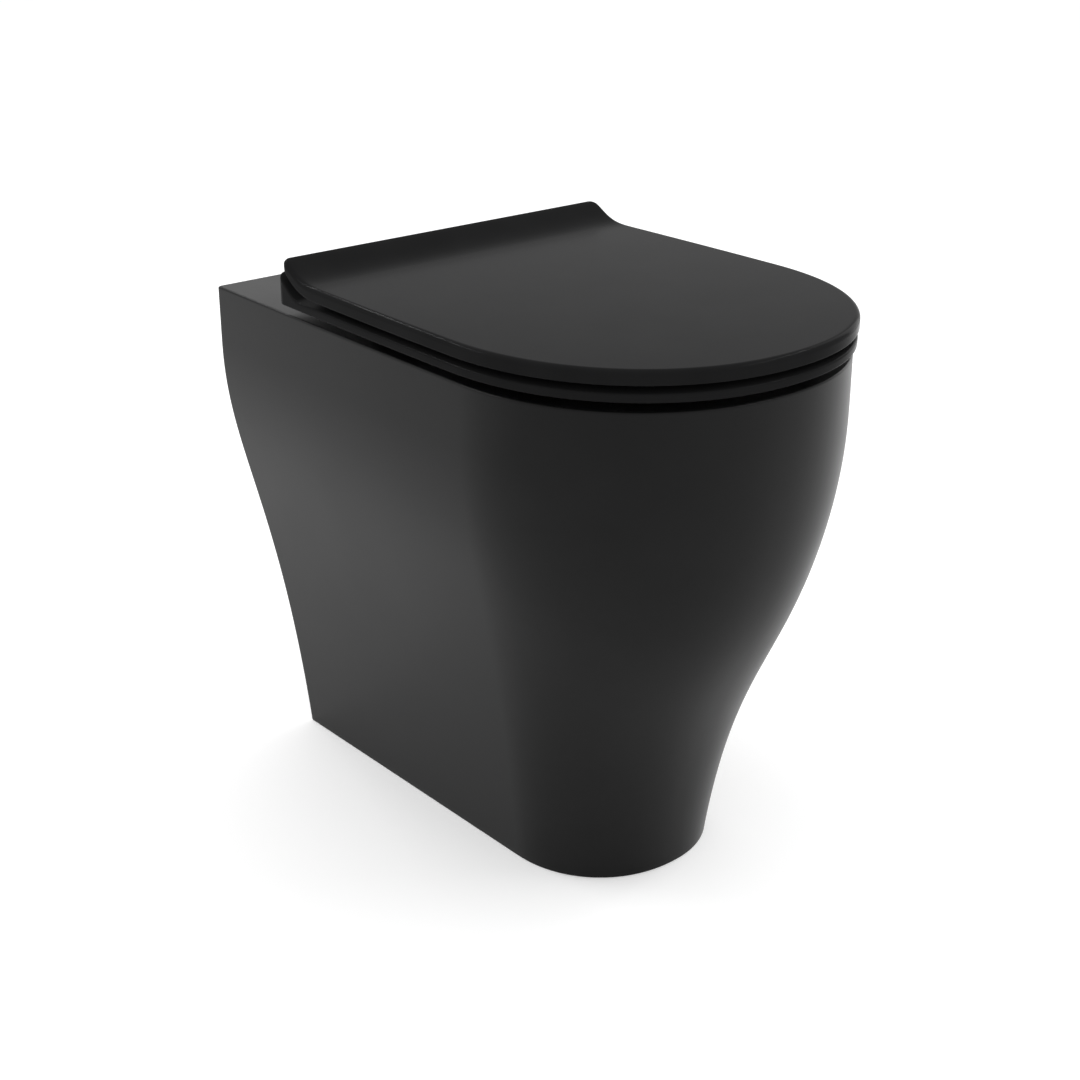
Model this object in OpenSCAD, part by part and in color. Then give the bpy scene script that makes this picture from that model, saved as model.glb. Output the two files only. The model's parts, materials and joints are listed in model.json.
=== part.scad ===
// Back-to-wall toilet: a one-piece ceramic pan with a slim soft-close seat and lid.
// All sizes are in millimetres. The floor is z = 0, the wall is the plane y = wall_y,
// and the front of the pan faces -y. Lengths called "from the wall" are measured along -y.

/* [Overall] */
// Depth from the wall to the front edge of the lid
depth = 546; // [530:1:580]
// Height of the ceramic rim above the floor
rim_h = 466; // [455:1:475]
// Width of the lid
lid_w = 360; // [350:1:370]

/* [Pan outside] */
// How far the ceramic rim lies inside the edge of the lid
rim_inset = 5; // [3:0.5:7]
// How much narrower each side of the pan is at the wall than halfway along
pan_taper = 4.6; // [2:0.1:6]
// Width of the foot on the floor
foot_w = 191; // [180:1:200]
// Length of the foot from the wall
foot_l = 428; // [415:1:440]
// Length of the straight sides at the foot
foot_straight = 332; // [320:1:345]
// Length of the straight sides at the rim
rim_straight = 362; // [350:1:375]
// Sideways lean of the foot, in mm of half width for each mm of height
side_lean = 0.11; // [0.08:0.01:0.14]
// Forward lean of the foot, in mm of length for each mm of height
front_lean = 0.125; // [0.1:0.005:0.15]
// Height up to which the side wall keeps its lean
side_low = 256; // [240:1:270]
// Height of the turn at the shoulder of the side wall
side_high = 108; // [95:1:120]
// Height up to which the front wall keeps its lean
front_low = 225; // [210:1:240]
// Height of the turn at the shoulder of the front wall
front_high = 236; // [220:1:250]
// Depth below the rim at which the side walls stand upright
side_drop = 51; // [40:1:60]
// Depth below the rim at which the front wall stands upright
front_drop = 29; // [20:1:40]
// Thickness of the ceramic walls
ceramic_t = 12; // [10:0.5:13]
// Thickness of the ceramic deck under the seat hinges
deck_t = 18; // [16:0.5:20]
// Width of the flange left round the opening in the back
back_flange = 6; // [4:0.5:10]
// Radius of the outer rim edge
rim_edge_r = 2; // [1:0.25:3]

/* [Bowl] */
// Width of the bowl opening
bowl_w = 256; // [240:1:262]
// Distance from the wall to the bowl opening
bowl_rear = 174; // [170:1:180]
// Width of the rim land at the front
front_land = 45; // [40:1:55]
// Depth of the open flush rim below the ceramic rim
flush_rim_h = 46; // [40:1:52]
// Width of the flush ledge at the bottom of the open rim
flush_ledge = 8; // [5:0.5:10]
// Height of the water in the trap above the floor
water_z = 190; // [185:1:195]
// Height of the bottom of the bowl above the floor
sump_z = 80; // [76:1:84]

/* [Pipes] */
// Height of the outlet above the floor
outlet_z = 180; // [178:1:184]
// Outside diameter of the outlet spigot
outlet_d = 102; // [98:1:110]
// Bore of the outlet spigot
outlet_bore = 86; // [80:1:88]
// Length of the outlet spigot that takes the drain connector
outlet_l = 38; // [32:1:38]
// Distance from the wall to the end of the outlet spigot
outlet_back = 30; // [24:1:30]
// Distance from the wall to the closed front of the spigot's chamber
outlet_front = 118; // [114:1:122]
// Bore of the trap
trap_bore = 60; // [56:1:62]
// Thickness of the trap wall
trap_t = 9; // [8:0.5:10]
// Depth of the flush inlet's centre below the ceramic rim
inlet_drop = 81; // [78:1:86]
// Bore of the ceramic flush inlet
inlet_bore = 55; // [52:1:58]
// Depth of the inlet socket
inlet_socket = 42; // [38:1:46]
// Bore of the flush way behind the socket
flush_bore = 38; // [34:1:42]
// Wall of the inlet socket
inlet_wall = 9; // [8:0.5:11]
// Distance from the wall to the mouth of the inlet socket
inlet_back = 38; // [34:1:42]
// Diameter of the flush pipe that the seal takes
flush_pipe_d = 45; // [40:1:46]

/* [Seat] */
// Gap between the ceramic rim and the seat
seat_gap = 8; // [7:0.25:9]
// Height of the outer edge of the seat
seat_edge_h = 7.4; // [6.5:0.1:8.5]
// How far the seat lies inside the edge of the lid
seat_inset = 1; // [0.5:0.25:2]
// Rise of the seat's top from its edge to its crown
seat_crown = 3.6; // [2.5:0.1:4]
// Width of the seat opening
seat_open_w = 216; // [205:1:225]
// Distance from the wall to the seat opening
seat_open_rear = 188; // [185:1:194]
// Width of the seat ring at the front
seat_front = 63; // [56:1:70]
// Distance from the wall to the back of the seat
seat_rear = 113.5; // [112:0.5:115]
// Rise of the seat's top edge towards the hinges
seat_rise = 21; // [19:0.25:21.5]
// Gap between the ceramic deck and the rear block of the seat
block_gap = 1; // [1:0.1:1.4]

/* [Lid] */
// Gap between the seat's edge and the lid
lid_gap = 5.9; // [5.5:0.1:6.5]
// Height of the lid's edge
lid_edge_h = 12; // [11:0.25:13]
// Thickness of the lid's plate
lid_t = 6; // [5.5:0.1:6.5]
// Width of the lid's downturned edge
lid_lip = 5; // [4:0.25:6]
// Distance from the wall to the back of the lid
lid_rear = 116; // [115.5:0.5:118]
// How much narrower each side of the lid is at the back
lid_taper = 4.3; // [2:0.1:6]
// Length of the lid's straight sides, from the wall
lid_straight = 355; // [345:1:365]
// Squareness of the front curve, where 2 is an ellipse
front_power = 2.13; // [2:0.01:2.3]
// Corner radius at the back of the lid
lid_corner = 12; // [9:0.5:16]
// Rise of the lid's top towards the back
lid_rise = 16; // [15.5:0.1:17]
// Distance from the wall at which the rise begins
rise_from = 178; // [174:1:184]
// Distance from the wall at which the rise ends
rise_to = 120; // [119:0.5:124]

/* [Hinges] */
// Distance between the two seat fixing holes
fixing_spacing = 155; // [145:1:160]
// Distance from the hinge axis forward to the fixing holes
fixing_offset = 14; // [13:0.25:15]
// Distance from the wall to the hinge axis
axis_back = 117.5; // [117:0.25:118]
// Height of the hinge axis above the ceramic rim
axis_h = 30.5; // [30:0.25:31]
// Radius of the hinge barrels
barrel_r = 9; // [8.5:0.1:9.5]
// Width of each hinge pillar
pillar_w = 24; // [20:0.5:26]
// Length of each barrel on the seat and the lid
barrel_l = 26; // [24:0.5:30]
// Radius of the hinge pins and the damper shafts
pin_r = 4; // [3.5:0.1:4]
// Outside radius of the bushes and the dampers
bush_r = 5.5; // [5.3:0.1:6]
// Diameter of the seat fixing holes in the ceramic
fixing_hole_d = 15; // [14:0.5:16]
// Radius of the head of the hinge studs
stud_r = 4; // [3.5:0.1:4.2]
// Radius of the hinge base plates
base_r = 11.5; // [10:0.5:12]
// Thickness of the hinge base plates
base_t = 2.5; // [2:0.25:3]

/* [Floor brackets] */
// Width of each floor bracket
bracket_w = 26; // [20:1:30]
// Thickness of the bracket steel
bracket_t = 3; // [2:0.25:4]
// Height of the ceramic ledge under each bracket hook
ledge_z = 30; // [24:1:40]
// Thickness of the ceramic ledge
ledge_t = 12; // [10:1:16]
// Radius of the floor screw holes
floor_hole_r = 4.5; // [3:0.25:5.5]

/* [Hidden] */

// Clearances
run_gap = 0.05;    // running clearance, on the radius
fit_gap = 0.1;     // between fixed parts
side_gap = 0.5;    // beside the barrels
rest_gap = 0.3;    // under the buffers and beside the studs
cut_over = 1;      // how far cuts run past the faces that they open

// Derived sizes
wall_y = depth / 2;
pan_l = depth - rim_inset;
pan_half = lid_w / 2 - rim_inset;
seat_under = rim_h + seat_gap;
seat_edge_top = seat_under + seat_edge_h;
lid_edge_under = seat_edge_top + lid_gap;
lid_top = lid_edge_under + lid_edge_h;
lid_under = lid_top - lid_t;
deck_under = rim_h - deck_t;
axis_z = rim_h + axis_h;
inlet_z = rim_h - inlet_drop;
fixing_back = axis_back + fixing_offset;
fixing_x = fixing_spacing / 2;
pillar_out = fixing_x + pillar_w / 2;
pillar_in = fixing_x - pillar_w / 2;
seat_barrel_x = pillar_out + side_gap + barrel_l / 2;
lid_barrel_x = pillar_in - side_gap - barrel_l / 2;

// Colours
ceramic_colour = [0.11, 0.11, 0.115];
seat_colour = [0.09, 0.09, 0.095];
steel_colour = [0.75, 0.76, 0.78];
rubber_colour = [0.2, 0.2, 0.2];
plastic_colour = [0.3, 0.3, 0.32];
brass_colour = [0.75, 0.6, 0.3];

// A point on a cubic Bezier curve
function bezier(a, b, c, d, t) =
    pow(1 - t, 3) * a + 3 * pow(1 - t, 2) * t * b + 3 * (1 - t) * t * t * c + pow(t, 3) * d;
// The parameter at which a rising Bezier curve reaches v, by halving
function bezier_at(v, a, b, c, d, low = 0, high = 1, steps = 22) =
    let (mid = (low + high) / 2)
    steps == 0 ? mid
    : bezier(a, b, c, d, mid) < v ? bezier_at(v, a, b, c, d, mid, high, steps - 1)
    : bezier_at(v, a, b, c, d, low, mid, steps - 1);
function mix(a, b, k) = a + (b - a) * k;
function limit(v) = min(1, max(0, v));
function smooth(v) = let (k = limit(v)) k * k * (3 - 2 * k);
// Point in space from a sideways place, a distance from the wall and a height
function at(x, back, z) = [x, wall_y - back, z];

// Half width and length of the pan's outside at a height
function pan_side(z) =
    let (top = rim_h - side_drop, foot = foot_w / 2, rim = pan_half - pan_taper)
    z >= top ? rim
    : bezier(foot, foot + side_lean * side_low, rim, rim,
             bezier_at(z, 0, side_low, top - side_high, top));
function pan_front(z) =
    let (top = rim_h - front_drop)
    z >= top ? pan_l
    : bezier(foot_l, foot_l + front_lean * front_low, pan_l, pan_l,
             bezier_at(z, 0, front_low, top - front_high, top));
function pan_share(z) = (pan_side(z) - foot_w / 2) / (pan_half - pan_taper - foot_w / 2);

// Closed D-shaped outline as [x, distance from the wall], starting at the middle of the back.
// The sides are straight up to "straight", and a superellipse closes the front.
function outline(rear, half_rear, half_mid, straight, front, power, corner, steps, front_n, rear_n) =
    let (start = rear + corner,
         back = [for (i = [0:rear_n]) [(half_rear - corner) * i / rear_n, rear]],
         turn = [for (i = [1:3]) let (a = 30 * i)
                 [half_rear - corner + corner * sin(a), start - corner * cos(a)]],
         side = [for (k = steps) [mix(half_rear, half_mid, sin(90 * k)), mix(start, straight, k)]],
         nose = [for (i = [1:front_n]) let (a = 90 * i / front_n)
                 [half_mid * pow(cos(a), 2 / power),
                  straight + (front - straight) * pow(sin(a), 2 / power)]],
         half = concat(back, turn, side, nose),
         last = len(half) - 1)
    concat(half, [for (i = [last - 1:-1:1]) [-half[i].x, half[i].y]]);

// Height of the S-shaped rise of the seat and lid at a distance from the wall, from 0 to 1
function rise(back) = smooth(pow(limit((rise_from - back) / (rise_from - rise_to)), 1.35));

// Point of an oval ring in the direction of a guide point, seen from the oval's centre
function oval_at(guide, centre, half_w, half_l, power) =
    let (x = guide.x, y = guide.y - centre, far = norm([x, y]),
         r = pow(pow(abs(x / far) / half_w, power) + pow(abs(y / far) / half_l, power), -1 / power))
    [r * x / far, centre + r * y / far];

// Middle of a list of points
function middle(points) = [for (k = [0:2]) [for (p = points) p[k]] * [for (p = points) 1] / len(points)];

// Solid skinned over rings with equal numbers of points, ended by fans round their middles
module skin(rings, closed = false) {
    n = len(rings[0]);
    m = len(rings);
    walls = [for (i = [0:m - (closed ? 1 : 2)], j = [0:n - 1])
             let (a = i * n + j, b = i * n + (j + 1) % n, c = ((i + 1) % m) * n + j,
                  d = ((i + 1) % m) * n + (j + 1) % n)
             each [[a, d, b], [a, c, d]]];
    ends = [for (j = [0:n - 1])
            let (k = (j + 1) % n)
            each [[j, k, m * n], [(m - 1) * n + k, (m - 1) * n + j, m * n + 1]]];
    polyhedron(concat([for (r = rings) each r], closed ? [] : [middle(rings[0]), middle(rings[m - 1])]),
               closed ? walls : concat(walls, ends), convexity = 10);
}

// Cylinder along x, centred on the hinge axis
module axle(x1, x2, r, sides = 48) {
    translate(at(x1, axis_back, axis_z)) rotate([0, 90, 0]) cylinder(h = x2 - x1, r = r, $fn = sides);
}
// Cylinder along y from one distance from the wall to another
module along(back1, back2, z, r) {
    translate(at(0, back2, z)) rotate([-90, 0, 0]) cylinder(h = back2 - back1, r = r, $fn = 72);
}
// Box given by sideways limits, distances from the wall and heights
module block(x, back, z) {
    translate([x[0], wall_y - back[1], z[0]]) cube([x[1] - x[0], back[1] - back[0], z[1] - z[0]]);
}
// Profile drawn as [distance behind the hinge axis, height above it], given a width along x
module hinge_section(x1, x2) {
    translate(at(x1, axis_back, axis_z)) rotate([90, 0, 90]) linear_extrude(x2 - x1) children();
}
module both_sides() {
    children();
    mirror([1, 0, 0]) children();
}

// Ceramic pan
pan_steps = [0.15, 0.35, 0.6, 0.8, 1];
// Radius of the pan's upright edges at the wall
pan_corner = 2;
function pan_plan(z, inset, rear) =
    let (k = pan_share(z))
    outline(rear, pan_side(z) - inset, pan_side(z) + pan_taper * k - inset,
            mix(foot_straight, rim_straight, k), pan_front(z) - inset, front_power, pan_corner,
            pan_steps, 14, 3);
function pan_ring(z, inset = 0, rear = 0) = [for (p = pan_plan(z, inset, rear)) at(p.x, p.y, z)];

bowl_front = pan_l - front_land;
bowl_guide = pan_plan(rim_h, 0, 0);
bowl_power = 2.3;
// Rounding of the bowl's mouth
mouth_r = 5;
ledge_h = rim_h - flush_rim_h;
// How far the bowl closes in below the ledge: at its back, at its front and at each side
upper_in = [16, 18, 13];
middle_in = [34, 55, 34];
water_in = [52, 118, 68];
// The same below the water, down to the sump
trap_in = [60, 158, 84];
floor_in = [66, 178, 93];
sump_in = [84, 200, 112];
// Inside of the bowl as [height, distance from the wall to its back and front, half width]
function bowl_row(z, in) = [z, bowl_rear + in[0], bowl_front - in[1], bowl_w / 2 - in[2]];
bowl_rows = [
    bowl_row(ledge_h, [flush_ledge, flush_ledge, flush_ledge]),
    bowl_row(mix(ledge_h, water_z, 0.3), upper_in),
    bowl_row(mix(ledge_h, water_z, 0.65), middle_in),
    bowl_row(water_z, water_in),
    bowl_row(mix(water_z, sump_z, 0.5), trap_in),
    bowl_row(mix(water_z, sump_z, 0.88), floor_in),
    bowl_row(sump_z, sump_in)];
// Smooth curve through the rows
function spline(p, i, t) =
    let (n = len(p) - 1, a = p[max(0, i - 1)], b = p[i], c = p[min(n, i + 1)], d = p[min(n, i + 2)])
    0.5 * (2 * b + (c - a) * t + (2 * a - 5 * b + 4 * c - d) * t * t + (3 * b - a - 3 * c + d) * t * t * t);
bowl_levels = [for (i = [0:len(bowl_rows) - 2], t = [0, 0.5]) each [spline(bowl_rows, i, t)],
               bowl_rows[len(bowl_rows) - 1]];
function bowl_ring(row, grow = 0, drop = 0) =
    [for (g = bowl_guide)
     let (p = oval_at(g, (row[1] + row[2]) / 2, row[3] + grow, (row[2] - row[1]) / 2 + grow, bowl_power))
     at(p.x, p.y, row[0] - drop)];
function mouth_ring(z, grow) = bowl_ring([z, bowl_rear, bowl_front, bowl_w / 2], grow);

module pan_body() {
    levels = [for (i = [0:15]) deck_under * i / 15];
    inner = [for (i = [0:10]) deck_under * i / 10];
    last = len(bowl_levels) - 1;
    skin(concat(
        [pan_ring(rim_h, rim_edge_r, rim_edge_r), pan_ring(rim_h - rim_edge_r * 0.3, rim_edge_r * 0.3,
                                                          rim_edge_r * 0.3)],
        [for (z = [rim_h - rim_edge_r, rim_h - deck_t / 2]) pan_ring(z)],
        [for (i = [len(levels) - 1:-1:0]) pan_ring(levels[i])],
        [for (z = inner) pan_ring(z, ceramic_t, ceramic_t)],
        [mouth_ring(deck_under, ceramic_t)],
        [for (i = [1:last]) bowl_ring(bowl_levels[i], ceramic_t, ceramic_t * pow(i / last, 2))]));
}
module bowl_inside() {
    skin(concat(
        [mouth_ring(rim_h + cut_over, mouth_r), mouth_ring(rim_h - mouth_r * 0.2, mouth_r * 0.6),
         mouth_ring(rim_h - mouth_r, 0), mouth_ring(ledge_h + mouth_r, 0)],
        [for (row = bowl_levels) bowl_ring(row)]));
}
// Opening in the back, inside a flange that follows the side walls
module back_opening() {
    top = deck_under - 2 * back_flange;
    inset = ceramic_t + back_flange;
    heights = [for (i = [0:10]) top * i / 10];
    edge = [for (z = heights) [pan_side(z) - inset, z == 0 ? -cut_over : z]];
    points = concat(edge, [for (i = [len(edge) - 1:-1:0]) [-edge[i].x, edge[i].y]]);
    translate(at(0, ceramic_t + cut_over, 0)) rotate([90, 0, 180])
        linear_extrude(ceramic_t + 2 * cut_over) polygon(points);
}
// Centre line of the trap as [distance from the wall, height]: level out of the sump, up to the
// weir, and over it into the spigot
trap_r = trap_bore / 2;
trap_low = sump_z + trap_r;
crest_z = water_z + trap_r;
trap_rise = 65;     // angle of the climb to the weir
trap_fall = 50;     // angle of the fall behind it
sump_turn = 60;     // radius of the turn out of the sump
weir_turn = 46;     // radius of the turn over the weir
sump_turn_at = 250; // distance from the wall at which the climb begins
trap_start = 30;    // level length before it
climb_from = [sump_turn_at - sump_turn * sin(trap_rise), trap_low + sump_turn * (1 - cos(trap_rise))];
climb_z = crest_z - weir_turn * (1 - cos(trap_rise));
climb_back = climb_from[0] - (climb_z - climb_from[1]) / tan(trap_rise);
weir_back = climb_back - weir_turn * sin(trap_rise);
trap_path = concat(
    [[sump_turn_at + trap_start, trap_low]],
    [for (a = [0:13:trap_rise]) [sump_turn_at - sump_turn * sin(a), trap_low + sump_turn * (1 - cos(a))]],
    [for (a = [trap_rise:-11.5:-trap_fall])
     [weir_back + weir_turn * sin(a), crest_z - weir_turn * (1 - cos(a))]]);
// The way into the spigot runs on past the end of the trap's wall
trap_run_on = 25;
// The chamber behind the spigot is a little thinner than the spigot
spigot_step = 2;
module trap(extra, run_on = 0) {
    path = concat(trap_path, run_on > 0 ? [trap_path[len(trap_path) - 1]
                                           - run_on * [cos(trap_fall), sin(trap_fall)]] : []);
    n = len(path) - 1;
    r = trap_r + extra;
    rings = [for (i = [0:n])
             let (p = path[i], a = path[max(0, i - 1)], b = path[min(n, i + 1)],
                  way = (b - a) / norm(b - a))
             [for (j = [0:15]) let (t = 22.5 * j)
              at(-r * sin(t), p.x - way.y * r * cos(t), p.y + way.x * r * cos(t))]];
    skin(rings);
}
// Ledges inside the foot that the floor brackets hook over
ledge_from = 70;
ledge_l = 50;
bracket_play = 1.5;
bracket_x = foot_w / 2 - ceramic_t - bracket_play - bracket_w / 2;
module bracket_ledge() {
    block([bracket_x - bracket_w / 2, pan_side(ledge_z) - ceramic_t / 2], [ledge_from, ledge_from + ledge_l],
          [ledge_z, ledge_z + ledge_t]);
}
// How far the flush way runs in behind the back of the bowl opening
flush_reach = 100;

module ceramic_pan() {
    color(ceramic_colour) difference() {
        union() {
            difference() {
                pan_body();
                back_opening();
            }
            trap(trap_t);
            along(outlet_back, outlet_back + outlet_l, outlet_z, outlet_d / 2);
            along(outlet_back + spigot_step, outlet_front, outlet_z, outlet_d / 2 - spigot_step);
            along(inlet_back, bowl_rear + flush_ledge, inlet_z, inlet_bore / 2 + inlet_wall);
            both_sides() bracket_ledge();
        }
        bowl_inside();
        trap(0, trap_run_on);
        along(outlet_back - cut_over, outlet_front - ceramic_t, outlet_z, outlet_bore / 2);
        along(inlet_back - cut_over, inlet_back + inlet_socket, inlet_z, inlet_bore / 2);
        along(inlet_back, bowl_rear + flush_reach, inlet_z, flush_bore / 2);
        both_sides() translate(at(fixing_x, fixing_back, deck_under - cut_over))
            cylinder(h = deck_t + 2 * cut_over, r = fixing_hole_d / 2, $fn = 48);
    }
}

// Rubber seal in the flush inlet, with a lip outside it
seal_end_gap = 2;
seal_lip = 6;
seal_lip_t = 1.4;
module inlet_seal() {
    outer = inlet_bore / 2 - fit_gap;
    bore = flush_pipe_d / 2;
    mouth = inlet_socket - seal_end_gap + fit_gap;
    end = mouth + seal_end_gap + seal_lip_t;
    color(rubber_colour) translate(at(0, inlet_back + inlet_socket - seal_end_gap, inlet_z))
        rotate([-90, 0, 0]) rotate_extrude($fn = 72)
            polygon([[bore, 0], [outer - 1, 0], [outer, 2], [outer, mouth], [outer + seal_lip, mouth],
                     [outer + seal_lip, end], [bore + 1.5, end], [bore, end - 1.5]]);
}

// Steel bracket screwed to the floor, with a hook over the ceramic ledge
pad_t = 2;
hook_z = ledge_z + ledge_t + pad_t;
bracket_rear = 22;
bracket_hole_back = 42;
hook_l = 28;
pad_in = 2;
module floor_bracket() {
    x = [bracket_x - bracket_w / 2, bracket_x + bracket_w / 2];
    leg = ledge_from - rest_gap;
    color(steel_colour) difference() {
        union() {
            block(x, [bracket_rear, leg], [0, bracket_t]);
            block(x, [leg - bracket_t, leg], [0, hook_z + bracket_t]);
            block(x, [leg - bracket_t, leg + hook_l], [hook_z, hook_z + bracket_t]);
        }
        translate(at(bracket_x, bracket_hole_back, -cut_over))
            cylinder(h = bracket_t + 2 * cut_over, r = floor_hole_r, $fn = 48);
    }
}
module floor_bracket_right() { floor_bracket(); }
module floor_bracket_left() { mirror([1, 0, 0]) floor_bracket(); }
module bracket_pads() {
    color(rubber_colour) both_sides()
        block([bracket_x - bracket_w / 2 + pad_in, bracket_x + bracket_w / 2 - pad_in],
              [ledge_from + pad_in, ledge_from + hook_l - pad_in], [ledge_z + ledge_t, hook_z]);
}

// Fixings of the hinges in the ceramic
gasket_t = 0.8;
base_z = rim_h + gasket_t;
base_top = base_z + base_t;
thread_r = 3;
sleeve_l = 40;
nut_h = 6;
module at_fixing(z) {
    translate(at(fixing_x, fixing_back, z)) children();
}
module base_gaskets() {
    color(rubber_colour) both_sides() at_fixing(rim_h) difference() {
        cylinder(h = gasket_t, r = base_r - 0.5, $fn = 72);
        translate([0, 0, -cut_over]) cylinder(h = gasket_t + 2 * cut_over, r = thread_r + rest_gap, $fn = 36);
    }
}
module hinge_base() {
    color(steel_colour) at_fixing(base_z) rotate_extrude($fn = 72)
        polygon([[thread_r + fit_gap, 0], [base_r, 0], [base_r, base_t * 0.5], [base_r - 1, base_t],
                 [thread_r + fit_gap, base_t]]);
}
module hinge_base_right() { hinge_base(); }
module hinge_base_left() { mirror([1, 0, 0]) hinge_base(); }
// Stud with a thread below and a grooved head that the pillar slides over
stud_h = 14;
stud_chamfer = 1.5;
groove_z = 8;
groove_depth = 0.8;
grip_wire_r = 1.2;
hex_depth = 4;
hex_r = 2;
module hinge_stud() {
    neck = stud_r - groove_depth;
    end = -sleeve_l - base_t - gasket_t;
    color(steel_colour) at_fixing(base_top) difference() {
        rotate_extrude($fn = 48)
            polygon([[0, end], [thread_r, end], [thread_r, 0], [stud_r, 0],
                     [stud_r, groove_z - 1 - groove_depth], [neck, groove_z - 1], [neck, groove_z + 1],
                     [stud_r, groove_z + 1 + groove_depth], [stud_r, stud_h - stud_chamfer],
                     [stud_r - stud_chamfer, stud_h], [0, stud_h]]);
        translate([0, 0, stud_h - hex_depth]) cylinder(h = hex_depth + cut_over, r = hex_r, $fn = 6);
    }
}
module hinge_stud_right() { hinge_stud(); }
module hinge_stud_left() { mirror([1, 0, 0]) hinge_stud(); }
// Rubber sleeve, drawn tight so that it bulges under the deck
bulge = 2;
bulge_z = 3;
bulge_l = 8;
module expansion_sleeve() {
    outer = fixing_hole_d / 2 - 2 * fit_gap;
    low = -sleeve_l + nut_h;
    color(rubber_colour) at_fixing(rim_h) rotate_extrude($fn = 48)
        polygon([[thread_r + fit_gap, low], [outer - 1, low], [outer + bulge, -deck_t - bulge_z - bulge_l],
                 [outer + bulge, -deck_t - bulge_z], [outer, -deck_t - 0.5], [outer, 0],
                 [thread_r + fit_gap, 0]]);
}
module expansion_sleeve_right() { expansion_sleeve(); }
module expansion_sleeve_left() { mirror([1, 0, 0]) expansion_sleeve(); }
module sleeve_nuts() {
    color(brass_colour) both_sides() at_fixing(rim_h - sleeve_l) difference() {
        cylinder(h = nut_h, r = fixing_hole_d / 2 - 1, $fn = 6);
        translate([0, 0, -cut_over]) cylinder(h = nut_h + 2 * cut_over, r = thread_r + run_gap, $fn = 36);
    }
}

// Hinge pillar: a barrel on the hinge axis over a leg that sits on the stud
leg_wall = 2.7;
leg_half = stud_r + rest_gap + leg_wall;
leg_low = base_top + 2 * fit_gap - axis_z;
module pillar_shape() {
    polygon([[-fixing_offset - leg_half, leg_low], [-fixing_offset + leg_half, leg_low],
             [-fixing_offset + leg_half, -barrel_r], [0, -barrel_r], [0, barrel_r],
             [-barrel_r, barrel_r - 1], [-fixing_offset - leg_half, -3]]);
}
module hinge_pillar() {
    color(plastic_colour) difference() {
        union() {
            axle(pillar_in, pillar_out, barrel_r, 72);
            hinge_section(pillar_in, pillar_out) pillar_shape();
        }
        translate(at(fixing_x, fixing_back, base_top - cut_over))
            cylinder(h = stud_h + 2 * cut_over, r = stud_r + rest_gap, $fn = 48);
        at_fixing(base_top + groove_z) rotate_extrude($fn = 48)
            translate([grip_ring_r, 0]) circle(r = grip_wire_r + run_gap, $fn = 24);
        axle(pillar_in - cut_over, pillar_in + pin_seat, pin_r + run_gap);
        axle(pillar_out - pin_seat, pillar_out + cut_over, pin_r + run_gap);
    }
}
pin_seat = 10;
grip_ring_r = stud_r - groove_depth + grip_wire_r + fit_gap;
module hinge_pillar_right() { hinge_pillar(); }
module hinge_pillar_left() { mirror([1, 0, 0]) hinge_pillar(); }
// Rubber ring in each pillar that grips the groove of the stud
module grip_ring() {
    color(rubber_colour) at_fixing(base_top + groove_z) rotate_extrude($fn = 48)
        translate([grip_ring_r, 0]) circle(r = grip_wire_r, $fn = 24);
}
module grip_ring_right() { grip_ring(); }
module grip_ring_left() { mirror([1, 0, 0]) grip_ring(); }

// Pins and damper shafts are fixed in the pillars and turn in the barrels
core_l = barrel_l - 1;
core_floor = 2;
shaft_reach = core_l - core_floor - 1;
module outer_shaft() {
    axle(pillar_out - pin_seat + fit_gap, pillar_out + side_gap + shaft_reach, pin_r);
}
module inner_shaft() {
    axle(pillar_in - side_gap - shaft_reach, pillar_in + pin_seat - fit_gap, pin_r);
}
module seat_hinge_pin() { color(steel_colour) mirror([1, 0, 0]) outer_shaft(); }
module lid_hinge_pin() { color(steel_colour) inner_shaft(); }
module seat_damper_shaft() { color(steel_colour) outer_shaft(); }
module lid_damper_shaft() { color(steel_colour) mirror([1, 0, 0]) inner_shaft(); }

// A sleeve closed at one end: the bushes and the damper bodies
module barrel_core(x_open, way) {
    far = x_open + way * core_l;
    floor_x = far - way * core_floor;
    mouth = x_open - way * cut_over;
    difference() {
        axle(min(x_open, far), max(x_open, far), bush_r);
        axle(min(mouth, floor_x), max(mouth, floor_x), pin_r + run_gap);
    }
}
// The bore that holds it, blind at the far end
module barrel_bore(x_open, way) {
    far = x_open + way * (core_l + fit_gap);
    mouth = x_open - way * cut_over;
    axle(min(mouth, far), max(mouth, far), bush_r + fit_gap);
}
seat_open_x = pillar_out + side_gap;
lid_open_x = pillar_in - side_gap;
module seat_bush() { color(brass_colour) mirror([1, 0, 0]) barrel_core(seat_open_x, 1); }
module seat_damper_body() { color(plastic_colour) barrel_core(seat_open_x, 1); }
module lid_bush() { color(brass_colour) barrel_core(lid_open_x, -1); }
module lid_damper_body() { color(plastic_colour) mirror([1, 0, 0]) barrel_core(lid_open_x, -1); }

// Seat ring
rise_steps = [0.03, 0.07, 0.11, 0.15, 0.2, 0.26, 0.4, 0.6, 0.8, 1];
seat_centre = (seat_open_rear + depth - seat_inset - seat_front) / 2;
seat_outer = outline(seat_rear, lid_w / 2 - lid_taper - seat_inset, lid_w / 2 - seat_inset, lid_straight,
                     depth - seat_inset, front_power, lid_corner + 2, rise_steps, 13, 4);
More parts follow.
